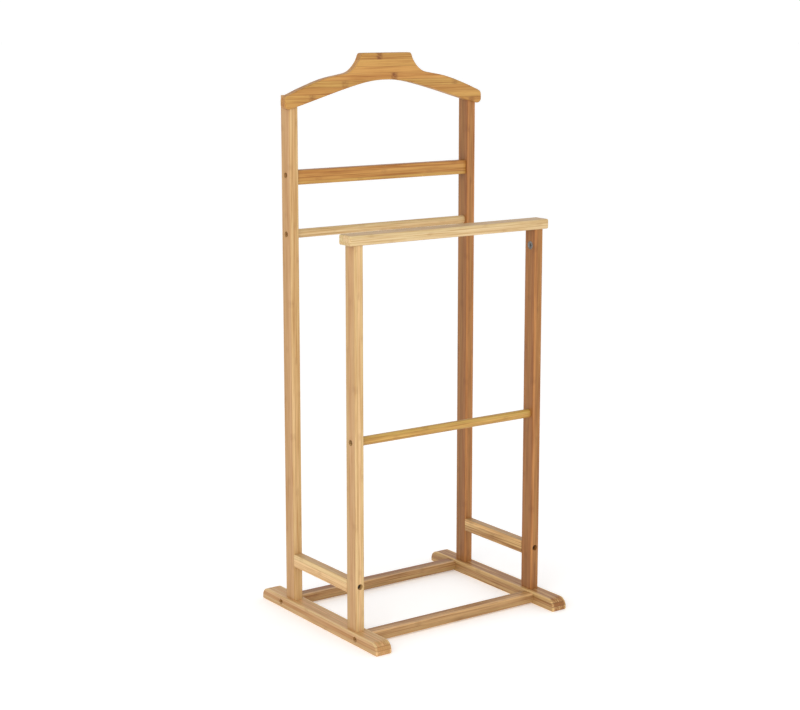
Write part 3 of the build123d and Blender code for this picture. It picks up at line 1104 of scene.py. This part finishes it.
@dataclass
class SocketBolt:
    """A furniture bolt: a knurled cap head with a hexagon socket, and an M6 shank."""

    head_r: float = 4.8
    head_h: float = 4.5
    chamfer: float = 0.5
    socket_flats: float = 4.0
    socket_depth: float = 2.6
    lead_in: float = 0.25
    mouth: float = 0.35
    ease: float = 0.1
    knurl_low: float = 0.25
    knurl_high: float = 0.7
    knurl_share: float = 0.955
    collar: float = 0.4
    under: float = 0.25
    shank_r: float = 2.95
    thread_length: float = 24.0
    tip_h: float = 1.0
    tip_chamfer: float = 0.5
    overlap: float = 0.2
    sides: int = 48
    shank_sides: int = 24
    thread: Thread = field(default_factory=Thread)

    def template(self, length: float) -> Shape:
        """Makes a bolt in millimetres, from the head's outer face at the origin along +Z.

        Args:
            length: The bolt's whole length, head included.

        Returns:
            The bolt's mesh.
        """
        head = bmesh.new()
        outline = (
            (self.socket_flats / math.sqrt(3) + self.lead_in, 0.0),
            (self.head_r - self.chamfer, 0.0),
            (self.head_r - self.ease, self.chamfer - self.ease),
            (self.head_r, self.chamfer + self.knurl_low),
            (self.head_r, self.head_h - self.knurl_high),
            (self.head_r, self.head_h - self.collar),
            (self.head_r - self.under, self.head_h),
        )
        rings = [
            hex_ring(head, self.socket_flats, depth, self.sides)
            for depth in (self.socket_depth, self.mouth)
        ]
        rings += [ring(head, radius, height, self.sides) for radius, height in outline]
        for knurled in rings[5:7]:
            flute(head, knurled, self.knurl_share)
        loft(head, rings)

        run_out = length - min(length - self.head_h, self.thread_length)
        seat = self.head_h - self.overlap
        root_r = self.thread.root_r
        if run_out > self.head_h + self.tip_chamfer:
            self._rod(
                head,
                (
                    (self.shank_r, seat),
                    (self.shank_r, run_out - 2 * self.overlap),
                    (root_r, run_out + self.overlap),
                ),
            )
        tip = length - self.tip_h
        self.thread.build(head, max(run_out, seat), tip + self.overlap)
        chamfer = self.tip_chamfer
        self._rod(head, ((root_r, tip), (root_r, length - chamfer), (root_r - chamfer, length)))
        return head

    def _rod(self, shape: Shape, profile: tuple[tuple[float, float], ...]) -> None:
        """Adds a plain round length to the bolt, as a closed shell.

        Args:
            shape: The mesh to add to.
            profile: Radius and height of each ring.
        """
        rod = bmesh.new()
        loft(rod, [ring(rod, radius, height, self.shank_sides) for radius, height in profile])
        merge_into(shape, rod)


@dataclass
class BarbedInsert:
    """A press-in nut for the end of a member: a threaded bore and sharp rings outside."""

    outer_r: float = 4.5
    waist_r: float = 3.9
    bore_r: float = 3.05
    barb: float = 1.6
    crest: tuple[float, float] = (0.35, 0.6)
    collar: float = 1.0
    lip: float = 0.4
    tail: float = 0.6
    taper: float = 0.2
    sides: int = 40

    def template(self, length: float) -> Shape:
        """Makes an insert in millimetres, from its mouth at the origin along +Z.

        Args:
            length: The insert's length.

        Returns:
            The insert's mesh.
        """
        shape = bmesh.new()
        mouth_r = self.bore_r + self.lip
        profile = [(mouth_r, 0.0), (self.waist_r, 0.0), (self.waist_r, self.collar)]
        height = self.collar
        while height + self.barb < length - self.tail:
            profile += [(self.outer_r, height + edge) for edge in self.crest]
            height += self.barb
            profile.append((self.waist_r, height))
        profile += [(self.waist_r - self.taper, length), (mouth_r, length)]
        profile += [(self.bore_r, length - self.lip), (self.bore_r, self.lip)]
        verts = [shape.verts.new((r, 0.0, z)) for r, z in profile]
        edges = [shape.edges.new(pair) for pair in zip(verts, verts[1:] + verts[:1])]
        bmesh.ops.spin(
            shape,
            geom=verts + edges,
            cent=(0, 0, 0),
            axis=(0, 0, 1),
            angle=math.tau,
            steps=self.sides,
            use_merge=True,
        )
        bmesh.ops.remove_doubles(shape, verts=shape.verts, dist=1e-4)
        bmesh.ops.recalc_face_normals(shape, faces=shape.faces)
        return shape


@dataclass
class FlutedDowel:
    """A glue dowel: straight flutes along it and a chamfer at each end."""

    radius: float = 3.0
    chamfer: float = 0.8
    flute_share: float = 0.93
    sides: int = 32

    def template(self, length: float) -> Shape:
        """Makes a dowel in millimetres, standing on the origin along +Z.

        Args:
            length: The dowel's length.

        Returns:
            The dowel's mesh.
        """
        shape = bmesh.new()
        ends = self.radius - self.chamfer
        rings = [
            ring(shape, ends, 0.0, self.sides),
            ring(shape, self.radius, self.chamfer, self.sides),
            ring(shape, self.radius, length - self.chamfer, self.sides),
            ring(shape, ends, length, self.sides),
        ]
        for fluted in rings[1:3]:
            flute(shape, fluted, self.flute_share)
        loft(shape, rings)
        return shape


@dataclass
class CamLock:
    """A cam lock: a dished face with a cross recess, on two walls that clasp the stud."""

    radius: float = 7.5
    face_t: float = 4.4
    rim: float = 0.9
    dish: float = 0.6
    slope: float = 0.5
    arm: float = 4.0
    arm_half: float = 0.8
    recess: float = 2.6
    draft: float = 0.7
    ease: float = 0.1
    edge: float = 0.4
    overlap: float = 0.2
    bore_r: float = 4.6
    wall_arc: float = 110.0
    wall_steps: int = 16
    sides: int = 48

    def template(self, length: float) -> Shape:
        """Makes a cam in millimetres, from its face at the origin along +Z.

        Args:
            length: The cam's length.

        Returns:
            The cam's mesh.
        """
        disc = bmesh.new()
        rim_r = self.radius - self.rim
        outline = (
            (rim_r - self.slope, self.dish - self.ease),
            (rim_r, self.ease),
            (rim_r + self.ease, 0.0),
            (self.radius - self.edge, 0.0),
            (self.radius - self.ease, self.ease),
            (self.radius, self.edge),
            (self.radius, self.face_t),
        )
        rings = [self._cross(disc, self.draft, self.recess), self._cross(disc, 1.0, self.dish)]
        rings += [ring(disc, radius, height, self.sides) for radius, height in outline]
        loft(disc, rings)
        for middle in (90.0, 270.0):
            merge_into(disc, self._wall(middle, length))
        return disc

    def _cross(self, shape: Shape, scale: float, height: float) -> Edges:
        """Adds a ring drawn to the outline of a cross, for a screwdriver.

        Args:
            shape: The mesh to add to.
            scale: The cross's size as a share of the recess's.
            height: Its place along the axis.

        Returns:
            The ring's edges.
        """
        edges = ring(shape, 1.0, height, self.sides)
        for vert in {v for e in edges for v in e.verts}:
            bearing = math.atan2(vert.co.y, vert.co.x) % (math.pi / 2)
            off = min(bearing, math.pi / 2 - bearing)
            reach = min(self.arm / math.cos(off), self.arm_half / max(math.sin(off), 1e-6))
            bmesh.ops.scale(shape, vec=(reach * scale, reach * scale, 1.0), verts=[vert])
        return edges

    def _wall(self, middle: float, length: float) -> Shape:
        """Makes one curved wall behind the face, with the stud's channel on each side of it.

        Args:
            middle: The bearing of the wall's middle, in degrees.
            length: The cam's length.

        Returns:
            The wall's mesh.
        """
        part = bmesh.new()
        low, high = self.face_t - self.overlap, length - self.edge
        wall_r = self.radius - self.overlap
        corners = (
            (self.bore_r, low),
            (wall_r, low),
            (wall_r, high),
            (wall_r - self.edge, length),
            (self.bore_r, length),
        )
        profile = part.faces.new([part.verts.new((r, 0.0, z)) for r, z in corners])
        bmesh.ops.spin(
            part,
            geom=[profile, *profile.edges, *profile.verts],
            cent=(0, 0, 0),
            axis=(0, 0, 1),
            angle=math.radians(self.wall_arc),
            steps=self.wall_steps,
        )
        turn = Matrix.Rotation(math.radians(middle - self.wall_arc / 2), 4, "Z")
        bmesh.ops.transform(part, matrix=turn, verts=part.verts)
        bmesh.ops.recalc_face_normals(part, faces=part.faces)
        return part


@dataclass
class FittingGroup:
    """Identical fittings that stand for one CAD node."""

    node: str
    piece: str
    slot: str
    kind: SocketBolt | BarbedInsert | FlutedDowel | CamLock
    first: Span
    smooth_angle: float = 35.0
    axis: Axis | None = None

    def build(self, frame: dict[str, Any], material: bpy.types.Material) -> bpy.types.Object:
        """Models the fittings at the CAD solids' places.

        Args:
            frame: The loaded frame.
            material: Their finish.

        Returns:
            The finished piece.
        """
        whole = bmesh.new()
        spots = find_spots(frame["nodes"][self.node], self.first, self.axis)
        for spot in spots:
            part = self.kind.template(spot.length)
            bmesh.ops.transform(part, matrix=spot.matrix(), verts=part.verts)
            merge_into(whole, part)
        mesh = bpy.data.meshes.new(self.piece)
        whole.to_mesh(mesh)
        whole.free()
        mesh.materials.append(material)
        mesh.shade_smooth()
        mesh.set_sharp_from_angle(angle=math.radians(self.smooth_angle))
        piece = bpy.data.objects.new(self.piece, mesh)
        bpy.context.scene.collection.objects.link(piece)
        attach(piece, BODY)
        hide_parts(self.node)
        LOG.info("%s: %d fittings, %d faces", self.piece, len(spots), len(mesh.polygons))
        return piece


@dataclass
class Hardware:
    """Every metal fitting and dowel."""

    groups: list[FittingGroup] = field(default_factory=list)
    zinc_nodes: tuple[str, ...] = ("barrel_nuts", "cam_studs")

    def __post_init__(self) -> None:
        """Lists the groups of fittings."""
        for name in ("short", "stretcher", "side_rail", "cross_rail", "hanger"):
            group = FittingGroup(
                f"{name}_bolts", f"{name}_socket_bolts", "bolt_steel", SocketBolt(), Span.WIDE_END
            )
            self.groups.append(group)
        insert, dowel, cam = BarbedInsert(), FlutedDowel(), CamLock()
        ends = Span.NARROW_END, Span.WIDE_END, Span.INNER_END
        self.groups += [
            FittingGroup("threaded_inserts", "barbed_inserts", "insert_brass", insert, ends[0]),
            FittingGroup("dowels", "fluted_dowels", "dowel_wood", dowel, ends[1], 60.0),
            FittingGroup("cam_locks", "cross_recess_cams", "cam_zinc", cam, ends[2], axis=Axis.X),
        ]

    def build(self, frame: dict[str, Any]) -> None:
        """Models and dresses the hardware.

        Args:
            frame: The loaded frame.
        """
        finishes = {
            # the bolt and cam finishes are darkened to paint the shade that falls on them
            "bolt_steel": BLACK_OXIDE_AND_SHADE.material("black_oxide_and_shade_steel"),
            "insert_brass": BRASS.material("turned_brass"),
            "dowel_wood": BeechFinish().material("raw_beech"),
            "cam_zinc": DIE_CAST_AND_SHADE.material("die_cast_zinc_and_shade"),
        }
        for group in self.groups:
            group.build(frame, finishes[group.slot])
        plated = ZINC_PLATE.material("zinc_plated_steel")
        for name in self.zinc_nodes:
            for slot in frame["nodes"][name].material_slots:
                slot.material = plated


# ---- studio --------------------------------------------------------------------------------
@dataclass
class Softbox:
    """A square area light that looks at the middle of the stand."""

    name: str
    place: tuple[float, float, float]
    size: float
    power: float
    colour: str = "#ffffff"

    def build(self, target: Vector) -> None:
        """Adds the light.

        Args:
            target: The point it is aimed at.
        """
        light = bpy.data.lights.new(self.name, "AREA")
        light.shape = "SQUARE"
        light.size = self.size
        light.energy = self.power
        light.color = srgb(self.colour)[:3]
        lamp = bpy.data.objects.new(self.name, light)
        bpy.context.scene.collection.objects.link(lamp)
        lamp.location = self.place
        aim = target - Vector(self.place)
        lamp.rotation_euler = aim.to_track_quat("-Z", "Y").to_euler()


@dataclass
class Studio:
    """A plain pale floor, a white surround, soft light from the front left, and the camera."""

    floor_radius: float = 60.0
    floor_colour: str = "#fcfcfc"
    floor_glow: float = 0.25
    horizon: float = 1.05
    zenith: float = 0.55
    sky_start: float = 0.3
    camera_place: tuple[float, float, float] = (-1.8329, -2.5501, 1.09563)
    camera_yaw: float = 35.262
    camera_pitch: float = 10.134
    sensor_mm: float = 36.0
    lens_mm: float = 78.764
    lens_shift: float = -0.04
    boxes: tuple[Softbox, ...] = (
        Softbox("key_softbox", (-2.6, -2.0, 1.9), 1.6, 30.0, "#fffaf3"),
        Softbox("fill_softbox", (1.6, -3.2, 1.4), 2.2, 6.0, "#f6f8ff"),
    )

    def build(self) -> None:
        """Builds the floor, the light and the camera."""
        self._floor()
        self._sky()
        target = sum(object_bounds(), Vector()) / 2
        for box in self.boxes:
            box.build(target)
        self._camera()

    def _floor(self) -> None:
        """Adds the floor as one large disc."""
        disc = bmesh.new()
        bmesh.ops.create_circle(disc, cap_ends=True, segments=96, radius=self.floor_radius)
        mesh = bpy.data.meshes.new("studio_floor")
        disc.to_mesh(mesh)
        disc.free()
        material = blank_material("matt_white_floor")
        tree = material.node_tree
        shader = add_node(
            tree,
            "ShaderNodeBsdfPrincipled",
            {
                "Base Color": srgb(self.floor_colour),
                "Roughness": 0.9,
                "Specular IOR Level": 0.1,
                "Emission Color": srgb("#ffffff"),
                "Emission Strength": self.floor_glow,
            },
        )
        add_node(tree, "ShaderNodeOutputMaterial", {0: shader.outputs[0]})
        mesh.materials.append(material)
        floor = bpy.data.objects.new("studio_floor", mesh)
        bpy.context.scene.collection.objects.link(floor)
        floor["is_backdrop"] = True

    def _sky(self) -> None:
        """Surrounds the scene with white light that is brighter low down than overhead."""
        world = bpy.data.worlds.new("studio_surround")
        world.use_nodes = True
        tree = world.node_tree
        tree.nodes.clear()
        coords = add_node(tree, "ShaderNodeTexCoord")
        parts = add_node(tree, "ShaderNodeSeparateXYZ", {0: coords.outputs["Generated"]})
        # even white up to about 17 degrees, where a direction's Z is sky_start, hides the horizon
        level = add_node(
            tree,
            "ShaderNodeMapRange",
            {
                0: parts.outputs[Axis.Z.value],
                1: self.sky_start,
                2: 1.0,
                3: self.horizon,
                4: self.zenith,
            },
            **SOFT_STEP,
        )
        glow = add_node(
            tree,
            "ShaderNodeBackground",
            {"Color": srgb("#ffffff"), "Strength": level.outputs[0]},
        )
        add_node(tree, "ShaderNodeOutputWorld", {0: glow.outputs[0]})
        bpy.context.scene.world = world
        bpy.context.scene.view_settings.view_transform = "Standard"

    def _camera(self) -> None:
        """Adds the camera at the front left, a little higher than the hanger."""
        data = bpy.data.cameras.new("studio_camera")
        data.sensor_fit = "HORIZONTAL"
        data.sensor_width = self.sensor_mm
        data.lens = self.lens_mm
        data.shift_y = self.lens_shift
        camera = bpy.data.objects.new("studio_camera", data)
        bpy.context.scene.collection.objects.link(camera)
        camera.location = self.camera_place
        camera.rotation_euler = (
            math.radians(90 - self.camera_pitch),
            0.0,
            math.radians(-self.camera_yaw),
        )
        bpy.context.scene.camera = camera


def main() -> None:
    """Loads the frame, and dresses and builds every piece."""
    logging.basicConfig(level=logging.INFO, format="%(name)s: %(message)s")
    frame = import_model()
    Studio().build()
    for assembly in (Base(), Uprights(), Crosspieces()):
        for member in assembly.members:
            member.dress(frame)
    Hardware().build(frame)


if __name__ == "__main__":
    main()
